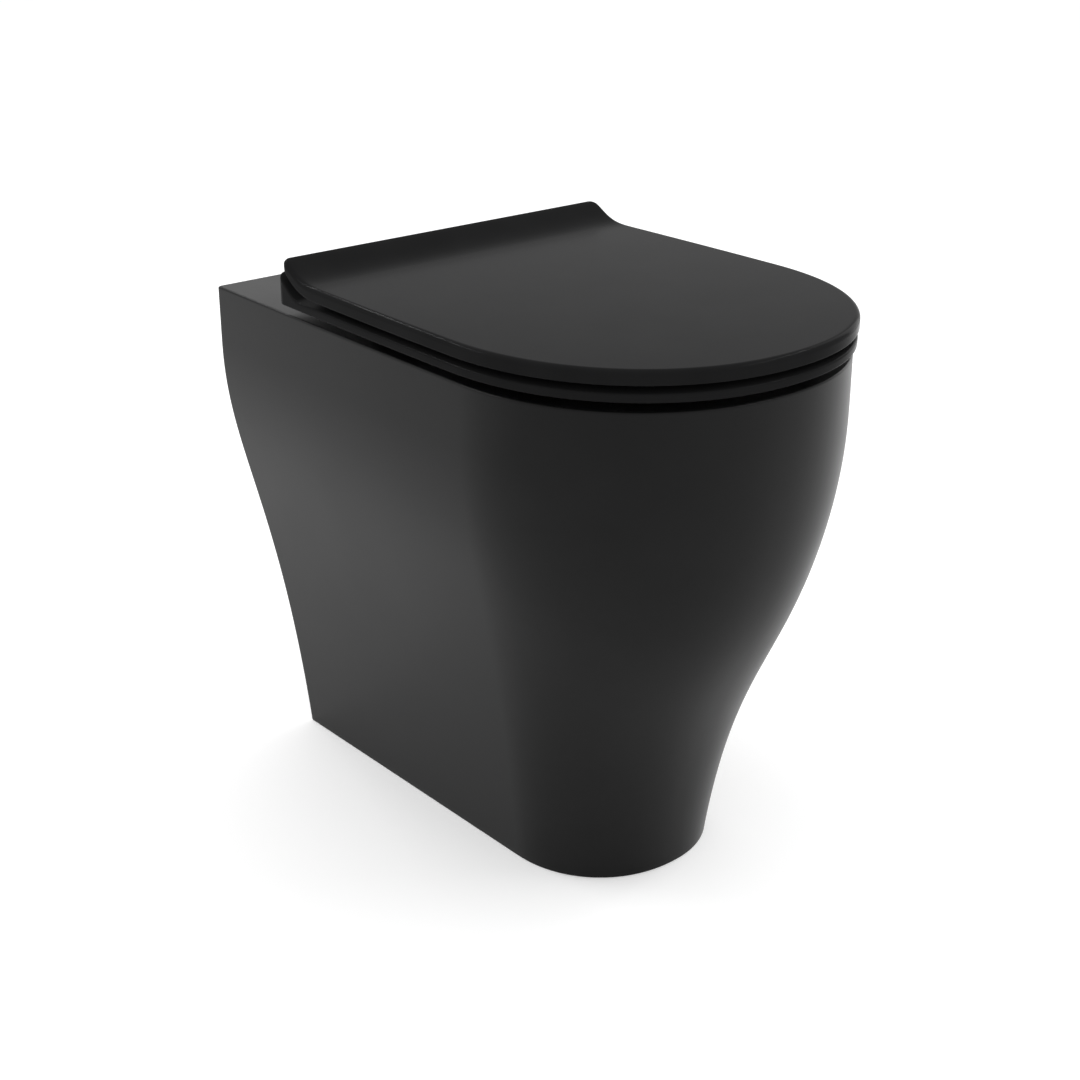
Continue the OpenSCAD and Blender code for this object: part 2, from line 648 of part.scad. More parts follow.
// Roundings of the seat's lower edge, its top edge, and the top edge at its opening
seat_low_r = 1;
seat_top_r = 2;
seat_inner_r = 6;
function seat_section(p) =
    let (q = oval_at(p, seat_centre, seat_open_w / 2, seat_centre - seat_open_rear, bowl_power),
         w = norm(q - p), way = (q - p) / w, full = seat_edge_h + seat_crown,
         // each point is [distance from the outer edge, height, 1 on top or 0 underneath]
         row = [[seat_low_r, 0, 0], [0, seat_low_r, 0], [0, seat_edge_h - seat_top_r, 1],
                [seat_top_r * 0.3, seat_edge_h - seat_top_r * 0.3, 1], [seat_top_r, seat_edge_h, 1],
                [0.15 * w, seat_edge_h + seat_crown * 0.8, 1], [0.3 * w, full, 1], [0.45 * w, full, 1],
                [0.6 * w, full, 1], [0.76 * w, full, 1], [w - seat_inner_r, full - seat_crown * 0.5, 1],
                [w - 1.6, seat_edge_h * 0.7, 1], [w, seat_edge_h / 3, 0.6], [w - 1.4, 0, 0], [0.6 * w, 0, 0],
                [0.34 * w, 0, 0], [0.16 * w, 0, 0]])
    [for (r = row) let (c = p + way * r[0]) at(c.x, c.y, seat_under + r[1] + mix(
        -(seat_gap - block_gap) * smooth((block_front - c.y) / block_slope), seat_rise * rise(c.y), r[2]))];
// The block under the back of the seat: where it begins, and how long its slope is
block_front = 148;
block_slope = 24;
block_wall = 5;
notch_room = 2.5;
notch_front = axis_back + fixing_offset + leg_half + notch_room;
notch_in = lid_open_x - barrel_l - side_gap;
notch_out = seat_open_x + barrel_l + side_gap;
seat_arm_end = 176;
arm_foot_h = 6;
channel_depth = 9.5;
channel_z = lid_under - channel_depth;
// Half way across the seat ring at a distance from the wall
function ring_mid(back) =
    let (open = seat_open_w / 2 * pow(1 - pow(limit(abs(back - seat_centre) / (seat_centre - seat_open_rear)),
                                             bowl_power), 1 / bowl_power),
         edge = lid_w / 2 * pow(1 - pow(limit((back - lid_straight) / (depth - lid_straight)), front_power),
                                1 / front_power))
    (open + edge) / 2;
seat_buffer_r = 9;
peg_r = 2.5;
peg_h = 3;
buffer_edge = 1.5;
// Places of the buffers as [x, distance from the wall]
seat_buffer_backs = [250, 440];
lid_buffer_backs = [280, 430];
buffer_out = 4;
seat_buffer_at = [for (back = seat_buffer_backs) [ring_mid(back) + buffer_out, back]];
lid_buffer_at = [for (back = lid_buffer_backs) [ring_mid(back), back]];
screw_spread = 7;
seat_screw_back = 162;
lid_screw_back = 170;

tip_gap = 0.5;
module peg_hole(p, z) {
    translate(at(p.x, p.y, z - cut_over))
        cylinder(h = peg_h + cut_over + 2 * fit_gap, r = peg_r + run_gap, $fn = 24);
}
module seat_ring() {
    top = lid_top + lid_rise;
    color(seat_colour) difference() {
        skin([for (p = seat_outer) seat_section(p)], closed = true);
        both_sides() {
            block([notch_in, notch_out], [seat_rear - cut_over, notch_front], [rim_h, top]);
            block([pillar_out, notch_out], [notch_front - cut_over, seat_arm_end + fit_gap],
                  [seat_under - block_wall, seat_under + arm_foot_h + fit_gap]);
            block([notch_in, pillar_in], [notch_front - cut_over, rise_from + cut_over], [channel_z, top]);
            block([notch_out + block_wall, pan_half - block_wall - 3],
                  [seat_rear + block_wall + 1, notch_front], [rim_h, seat_edge_top + lid_edge_h]);
            for (p = seat_buffer_at) peg_hole(p, seat_under);
            for (s = [-1, 1]) translate(at(seat_barrel_x + s * screw_spread, seat_screw_back, seat_under))
                cylinder(h = seat_screw_l + tip_gap, r = screw_r + run_gap, $fn = 24);
        }
    }
}

// Hinge arms of the seat, let into its underside
screw_r = 2;
head_r = 3.6;
head_h = 1.8;
seat_screw_l = 10;
seat_low = seat_under - axis_z;
module seat_arm() {
    foot = seat_low + fit_gap;
    foot_top = seat_low + arm_foot_h;
    toe = axis_back - seat_arm_end;
    heel = axis_back - notch_front;
    color(plastic_colour) difference() {
        union() {
            axle(seat_open_x, seat_open_x + barrel_l, barrel_r, 72);
            hinge_section(seat_open_x, seat_open_x + barrel_l)
                polygon([[0, 1 - barrel_r], [-6, foot], [toe, foot], [toe, foot_top], [heel, foot_top],
                         [heel + 2, -6], [1 - barrel_r, 0], [0, 0]]);
        }
        barrel_bore(seat_open_x, 1);
        for (s = [-1, 1])
            translate(at(seat_barrel_x + s * screw_spread, seat_screw_back, seat_under - cut_over)) {
                cylinder(h = arm_foot_h + 2 * cut_over, r = screw_r + run_gap, $fn = 24);
                cylinder(h = cut_over + fit_gap + head_h, r = head_r + run_gap, $fn = 36);
            }
    }
}
module seat_arm_right() { seat_arm(); }
module seat_arm_left() { mirror([1, 0, 0]) seat_arm(); }
// Pan-head screw pointing up from a height
module screw(length) {
    cylinder(h = head_h - run_gap, r = head_r, $fn = 36);
    cylinder(h = length, r = screw_r, $fn = 24);
}
module seat_arm_screws() {
    color(steel_colour) both_sides() for (s = [-1, 1])
        translate(at(seat_barrel_x + s * screw_spread, seat_screw_back, seat_under + fit_gap))
            screw(seat_screw_l);
}
// Round rubber buffer with a peg: it hangs from z = 0 down to -height
module buffer(r, height) {
    rotate_extrude($fn = 48)
        polygon([[0, peg_h], [peg_r, peg_h], [peg_r, 0], [r, 0], [r, buffer_edge - height],
                 [r - buffer_edge, -height], [0, -height]]);
}
module seat_buffers() {
    color(rubber_colour) both_sides() for (p = seat_buffer_at)
        translate(at(p.x, p.y, seat_under)) buffer(seat_buffer_r, seat_gap - rest_gap);
}

// Lid: a plate with a downturned edge, open at the back for the hinges
function lid_plan(inset) =
    outline(lid_rear + inset, lid_w / 2 - lid_taper - inset, lid_w / 2 - inset, lid_straight, depth - inset,
            front_power, max(lid_corner - inset, 1), rise_steps, 13, 4);
function lid_ring(inset, z) = [for (p = lid_plan(inset)) at(p.x, p.y, z + lid_rise * rise(p.y))];
// The bottom of the edge, raised almost to the plate where the hinges pass under it
raised_short = 40;
raised_lip = 0.5;
function edge_ring(inset, up) =
    [for (p = lid_plan(inset))
     let (hinged = p.y < lid_rear + lid_lip + 1 && abs(p.x) < lid_w / 2 - raised_short)
     at(p.x, p.y, (hinged ? lid_under - raised_lip : lid_edge_under) + up + lid_rise * rise(p.y))];
lid_insets = [9, 17, 25, 34, 44, 54, rise_from - lid_rear];
// Roundings of the lid's top and lower edges
lid_top_r = 3;
lid_low_r = 1;
lip_slope = 0.5;
lid_hole_depth = 3.7;
module lid_shell() {
    n = len(lid_insets) - 1;
    color(seat_colour) difference() {
        skin(concat(
            [for (i = [n:-1:0]) lid_ring(lid_insets[i], lid_top)],
            [lid_ring(lid_top_r, lid_top), lid_ring(lid_top_r * 0.3, lid_top - lid_top_r * 0.25),
             lid_ring(0, lid_top - lid_top_r), edge_ring(0, lid_low_r), edge_ring(lid_low_r, 0),
             edge_ring(lid_lip, 0), lid_ring(lid_lip + lip_slope, lid_under)],
            [for (i = [1:n]) lid_ring(lid_insets[i], lid_under)]));
        both_sides() {
            for (p = lid_buffer_at) peg_hole(p, lid_under);
            for (s = [-1, 1])
                translate(at(lid_barrel_x + s * screw_spread, lid_screw_back, lid_under - cut_over))
                    cylinder(h = cut_over + lid_hole_depth, r = screw_r + run_gap, $fn = 24);
        }
    }
}
// Hinge arms of the lid, shaped to its underside
lid_arm_t = 6.5;
lid_screw_l = 10;
lip_room = 0.6;
module lid_arm() {
    low = lid_under - lid_arm_t - axis_z;
    // the arm's top turns where the lid's underside turns
    backs = concat([for (i = [len(lid_insets) - 1:-1:1]) lid_rear + lid_insets[i]],
                   [lid_rear + lid_lip + lip_slope + lip_room]);
    color(plastic_colour) difference() {
        union() {
            axle(lid_open_x - barrel_l, lid_open_x, barrel_r, 72);
            hinge_section(lid_open_x - barrel_l, lid_open_x)
                polygon(concat([[axis_back - backs[0], low]],
                               [for (b = backs)
                                [axis_back - b, lid_under + lid_rise * rise(b) - 2 * fit_gap - axis_z]],
                               [[0, 0], [0, 1 - barrel_r], [-barrel_r, low + 2], [-barrel_r - 4, low]]));
        }
        barrel_bore(lid_open_x, -1);
        for (s = [-1, 1])
            translate(at(lid_barrel_x + s * screw_spread, lid_screw_back, lid_under - lid_arm_t - cut_over)) {
                cylinder(h = lid_arm_t + 4 * cut_over, r = screw_r + run_gap, $fn = 24);
                cylinder(h = cut_over + head_h, r = head_r + run_gap, $fn = 36);
            }
    }
}
module lid_arm_right() { lid_arm(); }
module lid_arm_left() { mirror([1, 0, 0]) lid_arm(); }
module lid_arm_screws() {
    color(steel_colour) both_sides() for (s = [-1, 1])
        translate(at(lid_barrel_x + s * screw_spread, lid_screw_back, lid_under - lid_arm_t))
            screw(lid_screw_l);
}
lid_buffer_r = 7;
module lid_buffers() {
    height = lid_under - seat_edge_top - seat_crown - rest_gap;
    color(rubber_colour) both_sides() for (p = lid_buffer_at)
        translate(at(p.x, p.y, lid_under)) buffer(lid_buffer_r, height);
}

ceramic_pan();
inlet_seal();
floor_bracket_left();
floor_bracket_right();
bracket_pads();
hinge_base_left();
hinge_base_right();
base_gaskets();
hinge_stud_left();
hinge_stud_right();
expansion_sleeve_left();
expansion_sleeve_right();
sleeve_nuts();
hinge_pillar_left();
hinge_pillar_right();
grip_ring_left();
grip_ring_right();
seat_hinge_pin();
lid_hinge_pin();
seat_damper_shaft();
lid_damper_shaft();
seat_ring();
seat_arm_left();
seat_arm_right();
seat_arm_screws();
seat_bush();
seat_damper_body();
seat_buffers();
lid_shell();
lid_arm_left();
lid_arm_right();
lid_arm_screws();
lid_bush();
lid_damper_body();
lid_buffers();
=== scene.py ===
import bpy
import bmesh
import json
from math import sin, cos, tan, radians, pi, hypot
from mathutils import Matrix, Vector


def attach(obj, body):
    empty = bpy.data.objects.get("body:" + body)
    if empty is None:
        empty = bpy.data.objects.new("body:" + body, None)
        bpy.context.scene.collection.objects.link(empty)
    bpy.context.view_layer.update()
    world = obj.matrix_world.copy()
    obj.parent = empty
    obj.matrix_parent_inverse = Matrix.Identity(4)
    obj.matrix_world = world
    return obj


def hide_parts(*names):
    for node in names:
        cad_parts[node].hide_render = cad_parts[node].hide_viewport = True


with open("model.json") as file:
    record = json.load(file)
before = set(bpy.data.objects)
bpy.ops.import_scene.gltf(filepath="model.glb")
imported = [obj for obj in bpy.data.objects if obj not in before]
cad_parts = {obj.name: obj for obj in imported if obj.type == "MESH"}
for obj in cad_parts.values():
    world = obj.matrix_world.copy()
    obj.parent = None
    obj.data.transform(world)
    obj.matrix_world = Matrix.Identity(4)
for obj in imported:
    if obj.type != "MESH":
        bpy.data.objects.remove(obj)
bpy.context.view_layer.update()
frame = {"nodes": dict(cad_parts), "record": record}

# Sizes in millimetres. d is the distance from the wall, z the height above the floor.
WALL = 273.0
DEPTH, RIM, LID_W = 546.0, 466.0, 360.0
RIM_INSET = 5.0
PAN_L, PAN_HALF, TAPER = DEPTH - RIM_INSET, LID_W / 2 - RIM_INSET, 4.6
FOOT_HALF, FOOT_L = 95.5, 428.0
SIDE_LEAN, SIDE_LOW, SIDE_HIGH, SIDE_DROP = 0.11, 256.0, 108.0, 51.0
FRONT_LEAN, FRONT_LOW, FRONT_HIGH, FRONT_DROP = 0.125, 225.0, 236.0, 29.0
FOOT_STRAIGHT, RIM_STRAIGHT, LID_STRAIGHT = 332.0, 362.0, 355.0
FRONT_POWER = 2.13
WALL_T, DECK_UNDER, RIM_R = 12.0, RIM - 18.0, 2.0
OUTLET_Z, INLET_Z = 180.0, 385.0
FIXING_X, FIXING_D, FIXING_R = 77.5, 131.5, 7.5
BRACKET_IN, BRACKET_D, LEDGE_Z = 56.0, (70.0, 120.0), (30.0, 42.0)
SEAT_UNDER = RIM + 8.0
SEAT_H, SEAT_CROWN, SEAT_INSET = 7.4, 3.6, 1.0
SEAT_RISE, LID_RISE = 21.0, 16.0
SEAT_TOP = SEAT_UNDER + SEAT_H
LID_EDGE = SEAT_TOP + 5.9
LID_TOP = LID_EDGE + 12.0
LID_UNDER = LID_TOP - 6.0
LID_TAPER = 4.3
AXIS_D = 117.5


def at(x, d, z):
    return Vector((x / 1000.0, (WALL - d) / 1000.0, z / 1000.0))


def mix(a, b, k):
    return a + (b - a) * k


def clamp(v):
    return min(1.0, max(0.0, v))


def smooth(v):
    k = clamp(v)
    return k * k * (3 - 2 * k)


def bezier(a, b, c, d, t):
    return (1 - t) ** 3 * a + 3 * (1 - t) ** 2 * t * b + 3 * (1 - t) * t * t * c + t ** 3 * d


def bezier_at(v, a, b, c, d):
    low, high = 0.0, 1.0
    for _ in range(40):
        mid = (low + high) / 2
        if bezier(a, b, c, d, mid) < v:
            low = mid
        else:
            high = mid
    return (low + high) / 2


def pan_side(z):
    top, rim = RIM - SIDE_DROP, PAN_HALF - TAPER
    if z >= top:
        return rim
    return bezier(FOOT_HALF, FOOT_HALF + SIDE_LEAN * SIDE_LOW, rim, rim,
                  bezier_at(z, 0, SIDE_LOW, top - SIDE_HIGH, top))


def pan_front(z):
    top = RIM - FRONT_DROP
    if z >= top:
        return PAN_L
    return bezier(FOOT_L, FOOT_L + FRONT_LEAN * FRONT_LOW, PAN_L, PAN_L,
                  bezier_at(z, 0, FRONT_LOW, top - FRONT_HIGH, top))


def pan_share(z):
    return (pan_side(z) - FOOT_HALF) / (PAN_HALF - TAPER - FOOT_HALF)


def outline(rear, half_rear, half_mid, straight, front, power, corner, back_n, turn_n, side_n, nose_n):
    """Closed D-shaped outline as (x, d), from the middle of the back round the right side."""
    start = rear + corner
    half = [((half_rear - corner) * i / back_n, rear) for i in range(back_n + 1)]
    for i in range(1, turn_n + 1):
        a = radians(90.0 * i / turn_n)
        half.append((half_rear - corner + corner * sin(a), start - corner * cos(a)))
    for i in range(1, side_n + 1):
        k = (i / side_n) ** 1.6
        half.append((mix(half_rear, half_mid, sin(pi / 2 * k)), mix(start, straight, k)))
    for i in range(1, nose_n + 1):
        a = pi / 2 * i / nose_n
        half.append((half_mid * abs(cos(a)) ** (2 / power) if i < nose_n else 0.0,
                     straight + (front - straight) * sin(a) ** (2 / power)))
    return half + [(-x, d) for x, d in reversed(half[1:-1])]


def rise(d):
    """Height of the lid's S-shaped rise towards the back, from 0 to 1."""
    return smooth(clamp((178.0 - d) / 62.0) ** 2)


def hinge_rise(d):
    """The same under the plate where the hinge arms lie against it, so that they stay below it."""
    return smooth(clamp((178.0 - d) / 58.0) ** 1.35)


def seat_rise(d):
    return smooth(clamp((146.0 - d) / 43.0) ** 1.3)


def oval_at(p, centre, half_w, half_l, power):
    x, y = p[0], p[1] - centre
    far = hypot(x, y)
    r = (abs(x / far / half_w) ** power + abs(y / far / half_l) ** power) ** (-1 / power)
    return (r * x / far, centre + r * y / far)


def catmull(points, i, t):
    n = len(points)
    a, b, c, d = (points[j] for j in (max(0, i - 1), i, min(n - 1, i + 1), min(n - 1, i + 2)))
    return [0.5 * (2 * q + (r - p) * t + (2 * p - 5 * q + 4 * r - s) * t * t
                   + (3 * q - p - 3 * r + s) * t ** 3) for p, q, r, s in zip(a, b, c, d)]


def solid(name, rings, looped=False):
    """Closed mesh skinned over rings of equal length. Its ends are closed unless it is looped."""
    bm = bmesh.new()
    rows = [[bm.verts.new(p) for p in ring] for ring in rings]
    n, m = len(rows[0]), len(rows)
    for i in range(m if looped else m - 1):
        a, b = rows[i], rows[(i + 1) % m]
        for j in range(n):
            k = (j + 1) % n
            bm.faces.new((a[j], a[k], b[k], b[j]))
    if not looped:
        bm.faces.new(list(reversed(rows[0])))
        bm.faces.new(rows[-1])
    bmesh.ops.recalc_face_normals(bm, faces=bm.faces)
    mesh = bpy.data.meshes.new(name)
    bm.to_mesh(mesh)
    bm.free()
    obj = bpy.data.objects.new(name, mesh)
    bpy.context.scene.collection.objects.link(obj)
    return obj


def apply_modifiers(obj):
    bpy.context.view_layer.update()
    graph = bpy.context.evaluated_depsgraph_get()
    mesh = bpy.data.meshes.new_from_object(obj.evaluated_get(graph), preserve_all_data_layers=True,
                                           depsgraph=graph)
    old = obj.data
    obj.modifiers.clear()
    obj.data = mesh
    bpy.data.meshes.remove(old)


def boolean(obj, tools, operation):
    for tool in tools:
        m = obj.modifiers.new("cut", "BOOLEAN")
        m.solver = "EXACT"
        m.operation = operation
        m.object = tool
        apply_modifiers(obj)
        mesh = tool.data
        bpy.data.objects.remove(tool)
        bpy.data.meshes.remove(mesh)


def tube_along(name, path, radius, steps):
    """Tube whose centre line is a list of (d, z) points in the middle plane."""
    rings = []
    for i, p in enumerate(path):
        a, b = path[max(0, i - 1)], path[min(len(path) - 1, i + 1)]
        far = hypot(b[0] - a[0], b[1] - a[1])
        wd, wz = (b[0] - a[0]) / far, (b[1] - a[1]) / far
        rings.append([at(-radius * sin(t), p[0] - wz * radius * cos(t), p[1] + wd * radius * cos(t))
                      for t in (2 * pi * j / steps for j in range(steps))])
    return solid(name, rings)


def cylinder_y(name, d1, d2, z, r, x=0.0, steps=96):
    turns = [2 * pi * j / steps for j in range(steps)]
    return solid(name, [[at(x + r * cos(t), d, z + r * sin(t)) for t in turns] for d in (d1, d2)])


def cylinder_z(name, x, d, z1, z2, r, steps=64):
    turns = [2 * pi * j / steps for j in range(steps)]
    return solid(name, [[at(x + r * cos(t), d + r * sin(t), z) for t in turns] for z in (z1, z2)])


def block(name, x, d, z):
    corners = ((x[0], d[0]), (x[1], d[0]), (x[1], d[1]), (x[0], d[1]))
    return solid(name, [[at(a, b, h) for a, b in corners] for h in z])


def shade(obj, angle):
    """Smooth shading with creases where faces meet at more than the angle."""
    mesh = obj.data
    mesh.polygons.foreach_set("use_smooth", [True] * len(mesh.polygons))
    mesh.set_sharp_from_angle(angle=radians(angle))


def weigh_normals(obj):
    """Large flat faces keep their own direction next to narrow rounded ones."""
    m = obj.modifiers.new("normals", "WEIGHTED_NORMAL")
    m.keep_sharp = True
    m.weight = 50
    apply_modifiers(obj)


# Camera at the photograph's angle, for a square picture
camera_data = bpy.data.cameras.new("camera")
camera_data.lens = 63.03
camera_data.sensor_width = 36.0
camera_data.clip_start = 0.05
camera = bpy.data.objects.new("camera", camera_data)
camera.location = (-1.0043, -1.1851, 0.9146)
camera.rotation_euler = (radians(90 - 22.83), 0, radians(-39.703))
bpy.context.scene.collection.objects.link(camera)
bpy.context.scene.camera = camera

# Ceramic pan
BACK, TURN, SIDE, NOSE = 10, 4, 26, 40


def pan_plan(z, inset, rear, corner=2.0):
    k = pan_share(z)
    return outline(rear, pan_side(z) - inset, pan_side(z) + TAPER * k - inset,
                   mix(FOOT_STRAIGHT, RIM_STRAIGHT, k), pan_front(z) - inset, FRONT_POWER, corner,
                   BACK, TURN, SIDE, NOSE)


def pan_ring(z, inset=0.0, rear=0.0):
    return [at(x, d, z) for x, d in pan_plan(min(z, RIM), inset, rear)]


guide = pan_plan(RIM, 0.0, 0.0)
BOWL_REAR, BOWL_FRONT, BOWL_HALF, BOWL_POWER = 174.0, PAN_L - 45.0, 128.0, 2.3
LEDGE, WATER, SUMP = RIM - 46.0, 190.0, 80.0
bowl_rows = [(LEDGE, BOWL_REAR + 8, BOWL_FRONT - 8, BOWL_HALF - 8),
             (mix(LEDGE, WATER, 0.3), BOWL_REAR + 16, BOWL_FRONT - 18, BOWL_HALF - 13),
             (mix(LEDGE, WATER, 0.65), BOWL_REAR + 34, BOWL_FRONT - 55, BOWL_HALF - 34),
             (WATER, BOWL_REAR + 52, BOWL_FRONT - 118, BOWL_HALF - 68),
             (mix(WATER, SUMP, 0.5), BOWL_REAR + 60, BOWL_FRONT - 158, BOWL_HALF - 84),
             (mix(WATER, SUMP, 0.88), BOWL_REAR + 66, BOWL_FRONT - 178, BOWL_HALF - 93),
             (SUMP, BOWL_REAR + 84, BOWL_FRONT - 200, BOWL_HALF - 112)]


def bowl_ring(row, grow=0.0, drop=0.0):
    centre, half_l = (row[1] + row[2]) / 2, (row[2] - row[1]) / 2
    return [at(x, d, row[0] - drop)
            for x, d in (oval_at(g, centre, row[3] + grow, half_l + grow, BOWL_POWER) for g in guide)]


def mouth_ring(z, grow):
    return bowl_ring((z, BOWL_REAR, BOWL_FRONT, BOWL_HALF), grow)


def blend_rings(a, b, shares):
    return [[p.lerp(q, k) for p, q in zip(a, b)] for k in shares]


def cap_rings(ring, shares=(0.02, 0.35, 0.7)):
    """Rings that close a flat or domed end evenly towards its middle."""
    middle = sum(ring, Vector()) / len(ring)
    return [[middle.lerp(p, k) for p in ring] for k in shares]


# Outside of the pan, with the hollow behind the bowl, before the bowl itself is cut
STEPS = 6
levels = [catmull(bowl_rows, i, t / STEPS) for i in range(len(bowl_rows) - 1) for t in range(STEPS)]
levels.append(list(bowl_rows[-1]))
rim = pan_ring(RIM, RIM_R, RIM_R)
rings = cap_rings(rim) + [rim]
for i in range(1, 7):
    a = radians(15.0 * i)
    rings.append(pan_ring(RIM - RIM_R + RIM_R * cos(a), RIM_R * (1 - sin(a)), RIM_R * (1 - sin(a))))
rings += [pan_ring(z) for z in (463.0, 460.0)]
rings += [pan_ring(z) for z in (455.0 - 4.97 * i for i in range(0, 91))]
rings += [pan_ring(1.0), pan_ring(0.3, 0.3, 0.0), pan_ring(0.0, 1.0, 0.0), pan_ring(0.0, 2.5, 1.0),
          pan_ring(0.0, WALL_T - 1, WALL_T - 1), pan_ring(0.0, WALL_T, WALL_T)]
rings += [pan_ring(DECK_UNDER * i / 40.0, WALL_T, WALL_T) for i in range(1, 41)]
rings += blend_rings(pan_ring(DECK_UNDER, WALL_T, WALL_T), mouth_ring(DECK_UNDER, WALL_T), (0.5, 1.0))
last = len(levels) - 1
for i, row in enumerate(levels):
    if i >= 3:
        rings.append(bowl_ring(row, WALL_T, WALL_T * (i / last) ** 2))
rings += reversed(cap_rings(rings[-1]))
pan = solid("toilet_pan", rings)

# Opening in the back, inside a flange that follows the side walls
FLANGE = 6.0
top = DECK_UNDER - 2 * FLANGE
heights = [top * i / 30.0 for i in range(31)]
profile = [(pan_side(h) - WALL_T - FLANGE, h if h else -2.0) for h in heights]
profile += [(-x, h) for x, h in reversed(profile)]
opening = solid("opening", [[at(x, d, h) for x, h in profile] for d in (-1.0, WALL_T + 1.0)])
boolean(pan, [opening], "DIFFERENCE")

# Trap: out of the sump, up to the weir and over it into the spigot
TRAP_R, TRAP_WALL, RUN_ON = 30.0, 9.0, 25.0
trap_low, crest = SUMP + TRAP_R, WATER + TRAP_R
up, down, turn_1, turn_2, start = 65.0, 50.0, 60.0, 46.0, 250.0
climb = (start - turn_1 * sin(radians(up)), trap_low + turn_1 * (1 - cos(radians(up))))
climb_z = crest - turn_2 * (1 - cos(radians(up)))
weir = climb[0] - (climb_z - climb[1]) / tan(radians(up)) - turn_2 * sin(radians(up))
path = [(start + 30, trap_low)]
path += [(start - turn_1 * sin(radians(a)), trap_low + turn_1 * (1 - cos(radians(a))))
         for a in [up * i / 16 for i in range(17)]]
path += [(weir + turn_2 * sin(radians(a)), crest - turn_2 * (1 - cos(radians(a))))
         for a in [up - (up + down) * i / 26 for i in range(27)]]
end = path[-1]
run_on = path + [(end[0] - RUN_ON * cos(radians(down)), end[1] - RUN_ON * sin(radians(down)))]
ledge_out = pan_side(LEDGE_Z[0]) - WALL_T / 2
boolean(pan, [tube_along("trap", path, TRAP_R + TRAP_WALL, 48), cylinder_y("spigot", 30, 68, OUTLET_Z, 51),
              cylinder_y("chamber", 32, 118, OUTLET_Z, 49), cylinder_y("boss", 38, 182, INLET_Z, 36.5),
              block("ledge_r", (BRACKET_IN, ledge_out), BRACKET_D, LEDGE_Z),
              block("ledge_l", (-ledge_out, -BRACKET_IN), BRACKET_D, LEDGE_Z)], "UNION")

# Bowl, rounded at its mouth, with the flushing ledge under the rim
MOUTH_R = 5.0
rings = list(cap_rings(bowl_ring(levels[-1])))
for row in reversed(levels):
    rings.append(bowl_ring(row))
rings += [mouth_ring(LEDGE + 2.5, -7.0), mouth_ring(LEDGE + 3.0, -5.0), mouth_ring(LEDGE + 4.0, -1.5),
          mouth_ring(LEDGE + 6.0, 0.0)]
rings += [mouth_ring(z, 0.0) for z in (430.0, 440.0, 450.0, 458.0)]
for i in range(0, 9):
    a = radians(11.25 * i)
    rings.append(mouth_ring(RIM - MOUTH_R + MOUTH_R * sin(a), MOUTH_R * (1 - cos(a))))
rings.append(mouth_ring(RIM + 4.0, MOUTH_R))
bowl = solid("bowl_inside", rings)
boolean(pan, [bowl, tube_along("trap_bore", run_on, TRAP_R, 48),
              cylinder_y("spigot_bore", 29, 106, OUTLET_Z, 43), cylinder_y("socket", 37, 80, INLET_Z, 27.5),
              cylinder_y("flush_way", 38, 274, INLET_Z, 19, steps=64),
              cylinder_z("hole_r", FIXING_X, FIXING_D, DECK_UNDER - 1, RIM + 1, FIXING_R),
              cylinder_z("hole_l", -FIXING_X, FIXING_D, DECK_UNDER - 1, RIM + 1, FIXING_R)], "DIFFERENCE")
shade(pan, 32)
weigh_normals(pan)
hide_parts("ceramic_pan")
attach(pan, "root")


# Seat
def lid_like(inset, rear, corner):
    return outline(rear, LID_W / 2 - LID_TAPER - inset, LID_W / 2 - inset, LID_STRAIGHT, DEPTH - inset,
                   FRONT_POWER, corner, 16, 8, 48, 48)


SEAT_REAR, OPEN_REAR, OPEN_HALF = 107.5, 188.0, 108.0
seat_centre = (OPEN_REAR + DEPTH - SEAT_INSET - 63.0) / 2


def arc(cx, cz, r, a1, a2, n):
    turns = [radians(mix(a1, a2, i / n)) for i in range(n + 1)]
    return [(cx + r * cos(t), cz + r * sin(t)) for t in turns]


def crown(s, w):
    """Height of the seat's top over its edge at a distance in from the edge."""
    if s < 0.3 * w:
        return SEAT_CROWN * sin(pi / 2 * clamp((s - 2) / (0.3 * w - 2)))
    return SEAT_CROWN * (1 - 0.5 * smooth((s - 0.72 * w) / (0.92 * w - 0.72 * w)))


def seat_section(p):
    q = oval_at(p, seat_centre, OPEN_HALF, seat_centre - OPEN_REAR, BOWL_POWER)
    w = hypot(q[0] - p[0], q[1] - p[1])
    way = ((q[0] - p[0]) / w, (q[1] - p[1]) / w)
    row = [(s, z, 0.0) for s, z in arc(1.2, 1.2, 1.2, 270, 180, 4)]
    row += [(0.0, SEAT_H * 0.45, 0.5)]
    row += [(s, z, 1.0) for s, z in arc(2.2, SEAT_H - 2.2, 2.2, 180, 95, 6)]
    row += [(s, SEAT_H + crown(s, w), 1.0) for s in (mix(2.4, w - 7.0, (i / 22) ** 1.3) for i in range(23))]
    row += [(w - 7 + 7 * sin(radians(a)), SEAT_H + SEAT_CROWN * 0.5 - 6.6 * (1 - cos(radians(a))),
             mix(1.0, 0.6, a / 90)) for a in (15, 30, 45, 60, 75, 88)]
    row += [(w - 0.1, 1.6, 0.2), (w - 0.7, 0.4, 0.0), (w - 1.6, 0.0, 0.0)]
    row += [(mix(w - 1.6, 1.2, k), 0.0, 0.0) for k in (0.1, 0.3, 0.5, 0.7, 0.9)]
    out = []
    for s, z, up_share in row:
        x, d = p[0] + way[0] * s, p[1] + way[1] * s
        out.append(at(x, d, SEAT_UNDER + z + SEAT_RISE * seat_rise(d) * up_share))
    return out


seat = solid("seat", [seat_section(p) for p in lid_like(SEAT_INSET, SEAT_REAR, 9.0)], looped=True)
